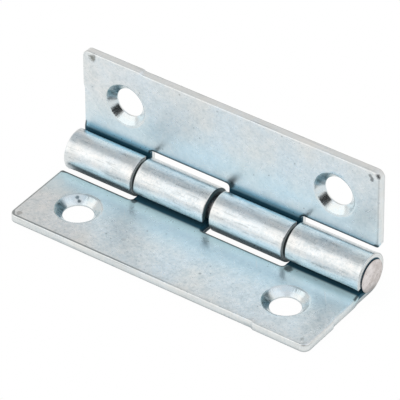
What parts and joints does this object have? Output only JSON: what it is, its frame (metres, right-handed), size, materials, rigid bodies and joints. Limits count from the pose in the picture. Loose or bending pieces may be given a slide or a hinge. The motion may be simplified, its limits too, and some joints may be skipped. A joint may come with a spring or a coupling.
{
  "type": "butt hinge",
  "caption": "Pressed steel butt hinge: leaves with countersunk screw holes, their edges rolled into interleaved knuckles that turn on a captive pin, standing open at a right angle.",
  "frame": {"origin": "centre of the lower leaf's pair of screw holes, on that leaf's back face", "axes": "+X along the hinge pin towards its visible head, +Z out of the lower leaf's front face and up the standing leaf, -Y from the barrel out across the lower leaf"},
  "size_m": [0.0512, 0.0191, 0.0191],
  "materials": {
    "leaf_zinc": "bright zinc plating with a faint blue tint, satin from tumbling",
    "pin_steel": "plain cut steel, hammered over at the ends"
  },
  "bodies": {
    "lower": {"lower_leaf": "leaf_zinc", "hinge_pin": "pin_steel"},
    "upright": {"upright_leaf": "leaf_zinc"}
  },
  "joints": [
    {"name": "leaf_swing", "type": "hinge", "parent": "lower", "child": "upright", "pos_m": [0, 0.0094, 0.00305], "axis": [1, 0, 0], "range_deg": [-188, 102.5]}
  ]
}
